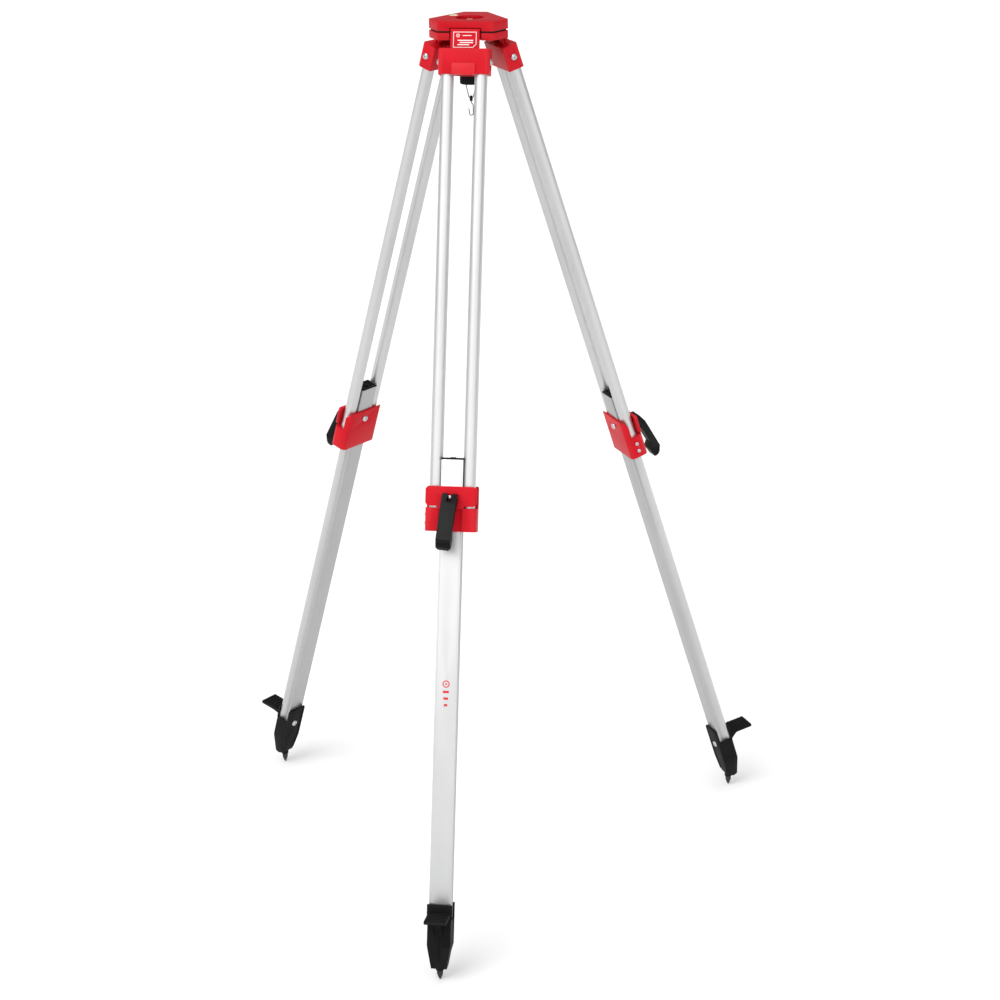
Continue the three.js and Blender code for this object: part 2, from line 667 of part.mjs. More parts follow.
// Lever side view as (s, n): cam round the pin, cranked strap, hooked grip
function leverOutline() {
  const points = [];
  for (let angle = 205; angle <= 270; angle += 13) {
    const turn = THREE.MathUtils.degToRad(angle);
    const grow = (270 - angle) / 90;
    const radius = CAM_RADIUS - 0.8 * Math.min(1, grow * 1.6) + 1.6 * Math.max(0, grow - 0.6);
    points.push([LEVER_PIVOT_S + radius * Math.cos(turn), LEVER_PIVOT_N + radius * Math.sin(turn)]);
  }
  points.push([788.5, 21.4], [792, 26.7], [802, 33.5], [838.5, 42.5], [849, 35.6]);
  points.push([869, 42.2], [870.6, 45.5], [863, 54], [851, 58.6], [788, 44], [771, 35]);
  return points;
}

function lever() {
  let body = across(leverOutline(), -LEVER_HALF_WIDTH, LEVER_HALF_WIDTH);
  for (let i = 0; i < GRIP_GROOVES; i += 1) {
    const s = 852.5 + i * 3.6;
    body = body.subtract(legBlock(-20, 20, 56.2 - i * 3.1, 80, s, s + 1.4));
  }
  const tipCorner = outline([
    [LEVER_HALF_WIDTH - GRIP_CHAMFER, -GRIP_END],
    [LEVER_HALF_WIDTH + 1, -GRIP_END],
    [LEVER_HALF_WIDTH + 1, -GRIP_END + GRIP_CHAMFER + 1],
  ]);
  const corner = new THREE.ExtrudeGeometry(tipCorner, { depth: 80, bevelEnabled: false });
  corner.rotateX(Math.PI / 2);
  const tipCut = solidOf(corner);
  body = body.subtract(tipCut).subtract(tipCut.mirror([1, 0, 0]));
  const slotEnd = LEVER_PIVOT_S + CAM_RADIUS + 0.5;
  body = body.subtract(legBlock(-LEVER_FORK_HALF, LEVER_FORK_HALF, 10, 60, 740, slotEnd));
  return body.subtract(rodAcross(STUD_RADIUS + FIT, -20, 20, LEVER_PIVOT_S, LEVER_PIVOT_N));
}

function leverStud() {
  const stud = rodOutward(STUD_RADIUS, SHOE_POCKET + 0.5, STUD_END, LEVER_PIVOT_S);
  return stud.add(rodAcross(STUD_RADIUS, -LEVER_HALF_WIDTH, LEVER_HALF_WIDTH, LEVER_PIVOT_S, LEVER_PIVOT_N));
}

function brakeShoe() {
  const plate = legBlock(
    -SHOE_HALF_WIDTH,
    SHOE_HALF_WIDTH,
    SHOE_FACE,
    SHOE_FACE + SHOE_THICKNESS,
    LEVER_PIVOT_S - SHOE_HALF_LENGTH,
    LEVER_PIVOT_S + SHOE_HALF_LENGTH,
  );
  const postTop = LEVER_PIVOT_N - CAM_RADIUS - FIT;
  const posts = [-SHOE_POST_OFFSET, SHOE_POST_OFFSET].map(
    (t) => rodOutward(SHOE_POST_RADIUS, SHOE_FACE + 1, postTop, LEVER_PIVOT_S, t, 10),
  );
  return plate.add(posts[0]).add(posts[1]);
}

function adjustingScrew() {
  const screw = buttonScrew(6.6, 4.4, ADJUSTER_RADIUS, 3.9);
  screw.translate(0, -CLAMP_INNER + FIT, -LEVER_PIVOT_S);
  return solidOf(screw);
}

function sideScrew(s) {
  const screw = buttonScrew(3.9, 2.2, SIDE_SCREW_RADIUS, 4.7);
  screw.rotateZ(Math.PI / 2);
  screw.translate(-CLAMP_HALF_WIDTH - FIT, -SIDE_SCREW_N, -s);
  return solidOf(screw);
}

// ---------------------------------------------------------------- foot

// Frame with z up along the spike axis, origin at the spike tip, in the leg frame
function alongSpike(solid) {
  return solid.rotate([THREE.MathUtils.radToDeg(SPLAY), 0, 0]).translate([0, -SPIKE_TIP_N, -SPIKE_TIP_S]);
}

function foot() {
  const shell = across([
    [FOOT_TOP, FOOT_INNER],
    [FOOT_TOP, FOOT_OUTER],
    [1592, FOOT_OUTER - 1],
    [1632, 5.5],
    [1634, -2],
    [1627, FOOT_INNER + 1],
    [1620, FOOT_INNER],
  ], -FOOT_HALF_WIDTH, FOOT_HALF_WIDTH);
  const taper = (side) => {
    const points = [
      [side * (FOOT_HALF_WIDTH - 1.5), -1545],
      [side * (FOOT_HALF_WIDTH + 0.1), -1540],
      [side * (FOOT_HALF_WIDTH + 9), -1540],
      [side * (FOOT_HALF_WIDTH + 9), -1645],
      [side * 12, -1645],
      [side * (FOOT_HALF_WIDTH - 1.5), -1588],
    ];
    const prism = new THREE.ExtrudeGeometry(
      outline(side > 0 ? [...points].reverse() : points),
      { depth: 60, bevelEnabled: false },
    );
    prism.rotateX(Math.PI / 2);
    prism.translate(0, 30, 0);
    return solidOf(prism);
  };
  let body = shell.subtract(taper(1)).subtract(taper(-1));
  const opening = LEG_HALF_DEPTH + FIT;
  body = body.subtract(legBlock(-40, 40, -opening, opening, FOOT_TOP - 1, LEG_END + FIT));
  body = body.add(plugBlock(FOOT_TOP - 15, LEG_END + 2));
  const pedal = across([
    [PEDAL_TOP, FOOT_OUTER - 1],
    [1533, PEDAL_END],
    [1539, PEDAL_END - 0.5],
    [1541, 44],
    [1546, 32],
    [1553, 22],
    [1574, FOOT_OUTER - 1.5],
  ], -6, 6);
  const tread = across([
    [PEDAL_TOP, FOOT_OUTER - 1],
    [1533, PEDAL_END],
    [1539, PEDAL_END - 0.5],
    [1535, 30],
    [1536, FOOT_OUTER - 1],
  ], -PEDAL_HALF_WIDTH, PEDAL_HALF_WIDTH);
  body = body.add(pedal).add(tread);
  for (let i = 0; i < PEDAL_RIBS; i += 1) {
    const n = 22 + i * 7.6;
    const s = PEDAL_TOP + (n - FOOT_OUTER) * 0.12;
    body = body.add(legBlock(1 - PEDAL_HALF_WIDTH, PEDAL_HALF_WIDTH - 1, n, n + 3, s - 1.4, s + 2));
  }
  body = body.add(alongSpike(post(7.6, SPIKE_CONE + 7, SPIKE_LENGTH + 6)));
  body = body.subtract(alongSpike(post(SPIKE_RADIUS + FIT, 5, SPIKE_LENGTH + FIT)));
  return body.subtract(rodOutward(FOOT_BOLT_RADIUS + FIT, FOOT_INNER - 1, FOOT_OUTER - 4, FOOT_BOLT_S));
}

function footBolt() {
  const bolt = buttonScrew(6.8, 3.8, FOOT_BOLT_RADIUS, FOOT_OUTER - FOOT_INNER - 6);
  bolt.translate(0, -FOOT_INNER + FIT, -FOOT_BOLT_S);
  return solidOf(bolt);
}

function spike() {
  const profile = [
    [0, 0],
    [SPIKE_POINT, 0],
    [SPIKE_RADIUS, SPIKE_CONE],
    [SPIKE_RADIUS, SPIKE_LENGTH],
    [0, SPIKE_LENGTH],
  ];
  const pin = new THREE.LatheGeometry(profile.map(([r, z]) => new THREE.Vector2(r, z)), SMALL_ROUND);
  pin.rotateX(Math.PI / 2);
  return alongSpike(solidOf(pin));
}

// ---------------------------------------------------------------- assembly

function leverSet(side) {
  const set = new THREE.Group();
  set.name = `lever_set_${side}`;
  const skew = side === 'front' ? LEVER_SKEW : 0;
  set.position.set(0, 0, -LEVER_PIVOT_S);
  set.rotation.y = skew;
  const centred = new THREE.Group();
  centred.position.set(0, 0, LEVER_PIVOT_S);
  centred.add(namedMesh(`lever_${side}`, lever(), 'black'));
  centred.add(namedMesh(`lever_stud_${side}`, leverStud(), 'zinc'));
  set.add(centred);
  return set;
}

function leg(side) {
  const group = new THREE.Group();
  const pieces = [
    ['bracket', bracket(), 'red'],
    ['hinge_bolt', hingeBolt(), 'zinc'],
    ['tube_a', tube(-1), 'aluminium'],
    ['tube_b', tube(1), 'aluminium'],
    ['clamp', clampBody(), 'red'],
    ['brake_shoe', brakeShoe(), 'black'],
    ['adjusting_screw', adjustingScrew(), 'zinc'],
    ['upper_side_screw', sideScrew(SIDE_SCREW_POSITIONS.upper), 'zinc'],
    ['lower_side_screw', sideScrew(SIDE_SCREW_POSITIONS.lower), 'zinc'],
    ['lower_leg', lowerLeg(), 'aluminium'],
    ['end_cap', endCap(), 'black'],
    ['foot', foot(), 'black'],
    ['foot_bolt', footBolt(), 'zinc'],
    ['spike', spike(), 'steel'],
  ];
  for (const [name, solid, paint] of pieces) {
    group.add(namedMesh(`${name}_${side}`, solid, paint));
  }
  group.add(leverSet(side));
  group.position.set(0, -PIVOT_RADIUS, PIVOT_HEIGHT);
  group.rotation.x = -SPLAY;
  const azimuth = new THREE.Group();
  azimuth.name = `leg_${side}`;
  azimuth.rotation.z = THREE.MathUtils.degToRad(LEGS[side]);
  azimuth.add(group);
  return azimuth;
}

function head() {
  const group = new THREE.Group();
  group.name = 'head';
  const pieces = [
    ['head_plate', headPlate(), 'red'],
    ['head_gasket', headGasket(), 'black'],
    ['hinge_frame', hingeFrame(), 'red'],
    ['vial_housing', vialHousing(), 'black'],
    ['vial_lens', vialLens(), 'vial'],
    ['centring_arm', centringArm(), 'red'],
    ['arm_pivot_screw', armPivotScrew(), 'zinc'],
    ['centring_screw', centringScrew(), 'zinc'],
    ['centring_knob', centringKnob(), 'black'],
    ['plumb_bail', plumbBail(), 'steel'],
    ['bail_swivel', bailSwivel(), 'black'],
    ['plumb_hook', plumbHook(), 'steel'],
  ];
  for (const [name, solid, paint] of pieces) {
    group.add(namedMesh(name, solid, paint));
  }
  return group;
}

const tripod = new THREE.Group();
tripod.name = 'surveyor_tripod';
tripod.add(head());
for (const side of Object.keys(LEGS)) {
  tripod.add(leg(side));
}
tripod.updateMatrixWorld(true);
const bounds = new THREE.Box3().setFromObject(tripod, true);
tripod.position.set(
  -(bounds.min.x + bounds.max.x) / 2,
  -(bounds.min.y + bounds.max.y) / 2,
  -bounds.min.z,
);
tripod.updateMatrixWorld(true);

export default tripod;
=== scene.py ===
import json
import math

import bpy
from mathutils import Matrix, Vector


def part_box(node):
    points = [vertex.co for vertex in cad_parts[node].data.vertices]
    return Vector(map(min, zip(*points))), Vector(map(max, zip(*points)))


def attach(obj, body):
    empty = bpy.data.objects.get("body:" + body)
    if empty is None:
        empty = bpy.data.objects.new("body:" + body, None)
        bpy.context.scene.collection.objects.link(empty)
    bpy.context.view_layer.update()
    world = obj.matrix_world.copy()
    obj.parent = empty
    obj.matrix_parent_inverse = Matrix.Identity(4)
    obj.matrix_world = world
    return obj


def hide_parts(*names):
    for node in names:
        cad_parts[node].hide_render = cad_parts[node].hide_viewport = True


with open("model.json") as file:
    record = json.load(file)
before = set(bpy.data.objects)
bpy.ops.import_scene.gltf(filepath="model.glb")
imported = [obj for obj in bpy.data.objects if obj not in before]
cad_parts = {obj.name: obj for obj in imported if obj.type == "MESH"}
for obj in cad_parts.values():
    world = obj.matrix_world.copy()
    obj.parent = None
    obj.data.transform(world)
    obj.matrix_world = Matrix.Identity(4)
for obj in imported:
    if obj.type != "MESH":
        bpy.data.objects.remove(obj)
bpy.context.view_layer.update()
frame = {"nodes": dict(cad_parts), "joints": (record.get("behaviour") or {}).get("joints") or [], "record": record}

MM = 0.001
SIDES = ("front", "right", "left")
joints = {joint["name"]: joint for joint in frame["joints"]}

# The head's axis, and a head frame in millimetres whose origin is on the plate's top face
screw_low, screw_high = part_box("centring_screw")
plate_low, plate_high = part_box("head_plate")
AXIS = (screw_low + screw_high) / 2
HEAD = Matrix.Translation((AXIS.x, AXIS.y, plate_high.z)) @ Matrix.Scale(MM, 4)


def leg_frame(side):
    """Millimetres along (across, outward, down the leg), from the hinge."""
    hinge = joints[f"leg_hinge_{side}"]
    across = Vector(hinge["axis"]).normalized()
    down = Vector(joints[f"leg_slide_{side}"]["axis"]).normalized()
    turn = Matrix((across, down.cross(across), down)).transposed().to_4x4()
    return Matrix.Translation(hinge["pos_m"]) @ turn @ Matrix.Scale(MM, 4)


LEG = {side: leg_frame(side) for side in SIDES}

# ---------------------------------------------------------------- camera

CAMERA_FROM_AXIS = Vector((0.6493, -4.1348, 2.2509))
CAMERA_AZIMUTH = math.radians(98.36)
CAMERA_PITCH = math.radians(-20.03)
CAMERA_ROLL = math.radians(-0.88)
LENS = 82.78
SENSOR = 36.0


def add_camera():
    forward = Vector((
        math.cos(CAMERA_AZIMUTH) * math.cos(CAMERA_PITCH),
        math.sin(CAMERA_AZIMUTH) * math.cos(CAMERA_PITCH),
        math.sin(CAMERA_PITCH),
    ))
    level = forward.cross(Vector((0, 0, 1))).normalized()
    above = level.cross(forward)
    right = math.cos(CAMERA_ROLL) * level + math.sin(CAMERA_ROLL) * above
    up = right.cross(forward)
    data = bpy.data.cameras.new("camera")
    data.lens = LENS
    data.sensor_width = SENSOR
    data.clip_end = 200
    camera = bpy.data.objects.new("camera", data)
    turn = Matrix((right, up, -forward)).transposed().to_4x4()
    place = Vector((AXIS.x, AXIS.y, 0)) + CAMERA_FROM_AXIS
    camera.matrix_world = Matrix.Translation(place) @ turn
    bpy.context.scene.collection.objects.link(camera)
    bpy.context.scene.camera = camera


add_camera()

# ---------------------------------------------------------------- floor and light

SKY_SIDE = 0.36
SKY_FRONT = 1.4
SKY_TOP = 0.98
# Where the sky's strength starts and stops changing, along each axis of the view direction
SKY_RAMPS = (
    ("Y", 0.05, -0.65, SKY_SIDE, SKY_FRONT),
    ("Z", 0.35, 0.8, 0, SKY_TOP),
)
KEY_DIRECTION = Vector((0.45, 0.62, -0.95))
KEY_STRENGTH = 1.25
KEY_ANGLE = math.radians(45)
FLOOR_HALF = 60
FLOOR_WHITE = 0.93


def add_key_light():
    data = bpy.data.lights.new("key", "SUN")
    data.energy = KEY_STRENGTH
    data.angle = KEY_ANGLE
    light = bpy.data.objects.new("key", data)
    light.matrix_world = KEY_DIRECTION.to_track_quat("-Z", "Y").to_matrix().to_4x4()
    bpy.context.scene.collection.objects.link(light)


def add_world():
    """A soft studio: bright towards the front and overhead, dimmer at the sides and back."""
    world = bpy.data.worlds.new("studio")
    world.use_nodes = True
    nodes, links = world.node_tree.nodes, world.node_tree.links
    place = nodes.new("ShaderNodeTexCoord")
    split = nodes.new("ShaderNodeSeparateXYZ")
    links.new(place.outputs["Generated"], split.inputs[0])
    parts = []
    for axis, start, end, low, high in SKY_RAMPS:
        level = nodes.new("ShaderNodeMapRange")
        level.interpolation_type = "SMOOTHSTEP"
        level.inputs["From Min"].default_value = start
        level.inputs["From Max"].default_value = end
        level.inputs["To Min"].default_value = low
        level.inputs["To Max"].default_value = high
        links.new(split.outputs[axis], level.inputs["Value"])
        parts.append(level.outputs["Result"])
    brighter = nodes.new("ShaderNodeMath")
    brighter.operation = "MAXIMUM"
    links.new(parts[0], brighter.inputs[0])
    links.new(parts[1], brighter.inputs[1])
    links.new(brighter.outputs[0], nodes["Background"].inputs["Strength"])
    nodes["Background"].inputs["Color"].default_value = (1, 1, 1, 1)
    bpy.context.scene.world = world


def add_floor():
    half = FLOOR_HALF
    mesh = bpy.data.meshes.new("floor")
    corners = [(-half, -half, 0), (half, -half, 0), (half, half, 0), (-half, half, 0)]
    mesh.from_pydata(corners, [], [(0, 1, 2, 3)])
    floor = bpy.data.objects.new("floor", mesh)
    material = bpy.data.materials.new("floor_white")
    material.use_nodes = True
    shader = material.node_tree.nodes["Principled BSDF"]
    shader.inputs["Base Color"].default_value = (FLOOR_WHITE, FLOOR_WHITE, FLOOR_WHITE, 1)
    shader.inputs["Roughness"].default_value = 0.9
    shader.inputs["Specular IOR Level"].default_value = 0.1
    mesh.materials.append(material)
    bpy.context.scene.collection.objects.link(floor)


add_world()
add_floor()
add_key_light()
bpy.context.scene.view_settings.view_transform = "Standard"

# ---------------------------------------------------------------- materials


# Half the depth of a leg, over which painted shade darkens its metal towards the tripod's middle
LEG_HALF_DEPTH = 0.0118


class Paint:
    """A node material built round one Principled shader."""

    def __init__(self, name, **constants):
        self.material = bpy.data.materials.new(name)
        self.material.use_nodes = True
        self.tree = self.material.node_tree
        self.shader = self.tree.nodes["Principled BSDF"]
        for socket, value in constants.items():
            self.shader.inputs[socket.replace("_", " ")].default_value = value

    def node(self, kind, **settings):
        node = self.tree.nodes.new(kind)
        for key, value in settings.items():
            setattr(node, key, value)
        return node

    def link(self, source, target):
        self.tree.links.new(source, target)

    def place(self, stretch=(1, 1, 1), attribute=None):
        """Object coordinates, or a piece's own leg coordinates, scaled along each axis."""
        if attribute:
            source = self.node("ShaderNodeAttribute", attribute_name=attribute).outputs["Vector"]
        else:
            source = self.node("ShaderNodeTexCoord").outputs["Object"]
        mapping = self.node("ShaderNodeMapping")
        mapping.inputs["Scale"].default_value = stretch
        self.link(source, mapping.inputs["Vector"])
        return mapping.outputs["Vector"]

    def noise(self, place, scale, detail=4.0, roughness=0.55):
        noise = self.node("ShaderNodeTexNoise")
        noise.inputs["Scale"].default_value = scale
        noise.inputs["Detail"].default_value = detail
        noise.inputs["Roughness"].default_value = roughness
        self.link(place, noise.inputs["Vector"])
        return noise.outputs["Fac"]

    def spread(self, value, low, high):
        """Maps a noise value, mostly 0.3 to 0.7, to low to high."""
        node = self.node("ShaderNodeMapRange")
        node.inputs["From Min"].default_value = 0.3
        node.inputs["From Max"].default_value = 0.7
        node.inputs["To Min"].default_value = low
        node.inputs["To Max"].default_value = high
        self.link(value, node.inputs["Value"])
        return node.outputs["Result"]

    def colours(self, value, low, high):
        ramp = self.node("ShaderNodeValToRGB")
        first, last = ramp.color_ramp.elements
        first.position, first.color = 0.32, (*low, 1)
        last.position, last.color = 0.68, (*high, 1)
        self.link(value, ramp.inputs[0])
        return ramp.outputs[0]

    def edges(self, colour, worn, amount):
        """Lightens convex edges where handling has rubbed them."""
        pointiness = self.node("ShaderNodeNewGeometry").outputs["Pointiness"]
        reach = self.node("ShaderNodeMapRange")
        reach.inputs["From Min"].default_value = 0.53
        reach.inputs["From Max"].default_value = 0.62
        reach.inputs["To Max"].default_value = amount
        self.link(pointiness, reach.inputs["Value"])
        mix = self.node("ShaderNodeMix", data_type="RGBA")
        mix.inputs["B"].default_value = (*worn, 1)
        self.link(reach.outputs["Result"], mix.inputs["Factor"])
        self.link(colour, mix.inputs["A"])
        return mix.outputs["Result"]

    def painted_inner_shade(self, colour, attribute, factor):
        """Painted shade: multiplies the colour by a factor, darker from the middle of a leg towards its inner
        face.
        """
        place = self.node("ShaderNodeAttribute", attribute_name=attribute).outputs["Vector"]
        split = self.node("ShaderNodeSeparateXYZ")
        self.link(place, split.inputs[0])
        reach = self.node("ShaderNodeMapRange")
        reach.inputs["From Min"].default_value = -LEG_HALF_DEPTH
        reach.inputs["From Max"].default_value = LEG_HALF_DEPTH
        reach.inputs["To Min"].default_value = factor
        reach.inputs["To Max"].default_value = 1.0
        self.link(split.outputs["Y"], reach.inputs["Value"])
        scale = self.node("ShaderNodeVectorMath", operation="SCALE")
        self.link(colour, scale.inputs[0])
        self.link(reach.outputs["Result"], scale.inputs["Scale"])
        return scale.outputs["Vector"]

    def bump(self, height, strength, distance, under=None):
        bump = self.node("ShaderNodeBump")
        bump.inputs["Strength"].default_value = strength
        bump.inputs["Distance"].default_value = distance
        self.link(height, bump.inputs["Height"])
        if under:
            self.link(under, bump.inputs["Normal"])
        return bump.outputs["Normal"]

    def set(self, **sockets):
        for socket, source in sockets.items():
            self.link(source, self.shader.inputs[socket.replace("_", " ")])
        return self.material


def red_paint(name, base, grain, roughness):
    paint = Paint(name, Specular_IOR_Level=0.06, Coat_Weight=0.02, Coat_Roughness=0.2)
    place = paint.place()
    cloud = paint.noise(place, 18)
    fine = paint.noise(place, grain, detail=2)
    darker = tuple(channel * 0.88 for channel in base)
    colour = paint.colours(cloud, darker, base)
    worn = tuple(min(1, channel * 1.15 + 0.05) for channel in base)
    return paint.set(
        Base_Color=paint.edges(colour, worn, 0.6),
        Roughness=paint.spread(cloud, roughness - 0.06, roughness + 0.07),
        Normal=paint.bump(fine, 0.16, 0.0003, paint.bump(cloud, 0.08, 0.001)),
    )


def black_plastic(name, base, grain, roughness):
    paint = Paint(name, Specular_IOR_Level=0.06)
    place = paint.place()
    cloud = paint.noise(place, 35)
    fine = paint.noise(place, grain, detail=3, roughness=0.7)
    colour = paint.colours(cloud, (base * 0.75,) * 3, (base * 1.35, base * 1.36, base * 1.42))
    return paint.set(
        Base_Color=paint.edges(colour, (base * 5,) * 3, 0.5),
        Roughness=paint.spread(fine, roughness - 0.08, roughness + 0.1),
        Normal=paint.bump(fine, 0.35, 0.0003),
    )


def anodised(name, tone, attribute, painted_shade_factor=1.0):
    """Drawn aluminium; painted shade darkens its faces towards the tripod's middle by the given factor."""
    paint = Paint(name, Metallic=0.92, Anisotropic=0.35)
    along = paint.place((1, 1, 0.012), attribute)
    cloudy = paint.place((1, 1, 0.25), attribute)
    lines = paint.noise(along, 900, detail=3, roughness=0.7)
    cloud = paint.noise(cloudy, 14)
    low = (tone * 0.93, tone * 0.935, tone * 0.94)
    high = (tone * 1.03, tone * 1.03, tone * 1.03)
    colour = paint.colours(cloud, low, high)
    # Painted shade on the faces towards the tripod's middle, when the factor is below 1
    if painted_shade_factor < 1:
        colour = paint.painted_inner_shade(colour, attribute, painted_shade_factor)
    return paint.set(
        Base_Color=colour,
        Roughness=paint.spread(lines, 0.3, 0.46),
        Normal=paint.bump(lines, 0.12, 0.0002, paint.bump(cloud, 0.05, 0.0006)),
    )


def bare_metal(name, base, roughness, grain=700):
    paint = Paint(name, Metallic=1.0)
    place = paint.place()
    spots = paint.noise(place, grain, detail=3)
    cloud = paint.noise(place, 60)
    low = tuple(channel * 0.8 for channel in base)
    return paint.set(
        Base_Color=paint.colours(cloud, low, base),
        Roughness=paint.spread(spots, roughness - 0.06, roughness + 0.1),
        Normal=paint.bump(spots, 0.1, 0.0002),
    )


def rubber(name):
    paint = Paint(name, Specular_IOR_Level=0.3)
    fine = paint.noise(paint.place(), 1500, detail=2)
    return paint.set(
        Base_Color=paint.colours(fine, (0.008,) * 3, (0.02,) * 3),
        Roughness=paint.spread(fine, 0.7, 0.9),
        Normal=paint.bump(fine, 0.3, 0.0002),
    )


def vial_liquid(name):
    paint = Paint(name, IOR=1.45, Coat_Weight=1.0, Coat_Roughness=0.03)
    cloud = paint.noise(paint.place(), 120)
    return paint.set(
        Base_Color=paint.colours(cloud, (0.78, 0.84, 0.60), (0.86, 0.90, 0.70)),
        Roughness=paint.spread(cloud, 0.04, 0.09),
    )


def printed(name, base):
    paint = Paint(name, Specular_IOR_Level=0.4)
    cloud = paint.noise(paint.place(), 260)
    return paint.set(
        Base_Color=paint.colours(cloud, tuple(channel * 0.88 for channel in base), base),
        Roughness=paint.spread(cloud, 0.36, 0.5),
        Normal=paint.bump(cloud, 0.08, 0.0001),
    )


MATERIALS = {
    "red_casting": red_paint("red_powder_coat", (0.48, 0.004, 0.011), 900, 0.42),
    "red_moulding": red_paint("red_moulded_plastic", (0.56, 0.008, 0.017), 1400, 0.36),
    "black_moulding": black_plastic("black_moulded_plastic", 0.006, 1100, 0.5),
    "gasket": rubber("gasket_rubber"),
    "anodised_aluminium": anodised("anodised_aluminium", 0.64, None),
    "zinc": bare_metal("zinc_plate", (0.55, 0.56, 0.58), 0.22),
    "dark_steel": bare_metal("dark_steel", (0.06, 0.058, 0.055), 0.42),
    "vial": vial_liquid("vial_liquid"),
    # The tube and section finishes carry painted shade on their inner faces
    "tube": anodised("tube_aluminium", 0.66, "local", painted_shade_factor=0.86),
    "section": anodised("section_aluminium", 0.60, "local", painted_shade_factor=0.72),
    "print_white": printed("label_print", (0.80, 0.78, 0.77)),
    "print_red": printed("leg_print", (0.60, 0.02, 0.03)),
    "thread": bare_metal("thread_brass", (0.86, 0.72, 0.42), 0.32),
}

# ---------------------------------------------------------------- mesh building


SHARP_ANGLE = math.radians(32)
WELD_DISTANCE = 0.00001


def smooth_by_angle():
    """Geometry nodes that smooth a mesh except at edges sharper than SHARP_ANGLE."""
    tree = bpy.data.node_groups.new("smooth_by_angle", "GeometryNodeTree")
    tree.interface.new_socket("Geometry", in_out="INPUT", socket_type="NodeSocketGeometry")
    tree.interface.new_socket("Geometry", in_out="OUTPUT", socket_type="NodeSocketGeometry")
    nodes, links = tree.nodes, tree.links
    start, end = nodes.new("NodeGroupInput"), nodes.new("NodeGroupOutput")
    faces = nodes.new("GeometryNodeSetShadeSmooth")
    faces.domain = "FACE"
    edges = nodes.new("GeometryNodeSetShadeSmooth")
    edges.domain = "EDGE"
    edges.inputs["Shade Smooth"].default_value = False
    angle = nodes.new("GeometryNodeInputMeshEdgeAngle")
    compare = nodes.new("FunctionNodeCompare")
    compare.operation = "GREATER_THAN"
    compare.inputs[1].default_value = SHARP_ANGLE
    links.new(start.outputs[0], faces.inputs["Geometry"])
    links.new(faces.outputs[0], edges.inputs["Geometry"])
    links.new(angle.outputs["Unsigned Angle"], compare.inputs[0])
    links.new(compare.outputs[0], edges.inputs["Selection"])
    links.new(edges.outputs[0], end.inputs[0])
    return tree


SMOOTH = smooth_by_angle()


def finish_edges(obj, bevel, segments=2, weld=False):
    if weld:
        modifier = obj.modifiers.new("weld", "WELD")
        modifier.merge_threshold = WELD_DISTANCE
    if bevel:
        modifier = obj.modifiers.new("edges", "BEVEL")
        modifier.width = bevel * MM
        modifier.segments = segments
        modifier.limit_method = "ANGLE"
        modifier.angle_limit = SHARP_ANGLE
        modifier.use_clamp_overlap = True
    modifier = obj.modifiers.new("smooth", "NODES")
    modifier.node_group = SMOOTH


def make(name, shape, place, material, body, replaces=(), bevel=0.0):
    """A piece from (points, faces) in millimetres, set in place by a matrix."""
    points, faces = shape
    mesh = bpy.data.meshes.new(name)
    mesh.from_pydata([place @ Vector(point) for point in points], [], faces)
    local = mesh.attributes.new("local", "FLOAT_VECTOR", "POINT")
    for item, point in zip(local.data, points):
        item.vector = Vector(point) * MM
    mesh.materials.append(MATERIALS[material])
    obj = bpy.data.objects.new(name, mesh)
    bpy.context.scene.collection.objects.link(obj)
    finish_edges(obj, bevel)
    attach(obj, body)
    if replaces:
        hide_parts(*replaces)
    return obj


def lathe(profile, segments=48, wave=None):
    """Turned shape about z from (radius, z) points, low end first."""
    points, faces, rings = [], [], []
    for radius, z in profile:
        if radius == 0:
            rings.append([len(points)])
            points.append((0, 0, z))
            continue
        rings.append(list(range(len(points), len(points) + segments)))
        for i in range(segments):
            angle = 2 * math.pi * i / segments
            grown = radius + (wave(angle, radius, z) if wave else 0)
            points.append((grown * math.cos(angle), grown * math.sin(angle), z))
    for low, high in zip(rings, rings[1:]):
        for i in range(segments):
            j = (i + 1) % segments
            face = [low[i % len(low)], low[j % len(low)], high[j % len(high)], high[i % len(high)]]
            faces.append(list(dict.fromkeys(face)))
    return points, faces


def extrude(outline, low, high):
    """Prism along z of a counter-clockwise outline."""
    count = len(outline)
    points = [(x, y, low) for x, y in outline] + [(x, y, high) for x, y in outline]
    faces = [list(range(count))[::-1], list(range(count, 2 * count))]
    for i in range(count):
        j = (i + 1) % count
        faces.append([i, j, count + j, count + i])
    return points, faces


def moved(shape, matrix):
    points, faces = shape
    return [tuple(matrix @ Vector(point)) for point in points], faces


def joined(*shapes):
    points, faces = [], []
    for more_points, more_faces in shapes:
        start = len(points)
        points += more_points
        faces += [[index + start for index in face] for face in more_faces]
    return points, faces


def arc(centre, radius, start, end, steps):
    """Points on a circle from one angle to another, in degrees."""
    points = []
    for i in range(steps + 1):
        angle = math.radians(start + (end - start) * i / steps)
        points.append((centre[0] + radius * math.cos(angle), centre[1] + radius * math.sin(angle)))
    return points


INWARD = Matrix.Rotation(math.radians(90), 4, "X")
SIDEWAYS = Matrix.Rotation(math.radians(-90), 4, "Y")


def facing(turn, across, outward, down):
    return Matrix.Translation((across, outward, down)) @ turn


# ---------------------------------------------------------------- CAD nodes that stay

BEVELS = {
    "head_plate": 0.9,
    "head_gasket": 0.2,
    "hinge_frame": 0.7,
    "vial_housing": 0.2,
    "centring_arm": 0.6,
    "arm_pivot_screw": 0.2,
    "bail_swivel": 0.2,
    "bracket": 0.9,
    "clamp": 0.7,
    "end_cap": 0.5,
    "foot": 0.8,
    "lever": 0.8,
    "lever_stud": 0.3,
}

# The vial's cup is moulded in the same pale green as its cap
SPECIAL_FINISH = {"vial_housing": "vial"}

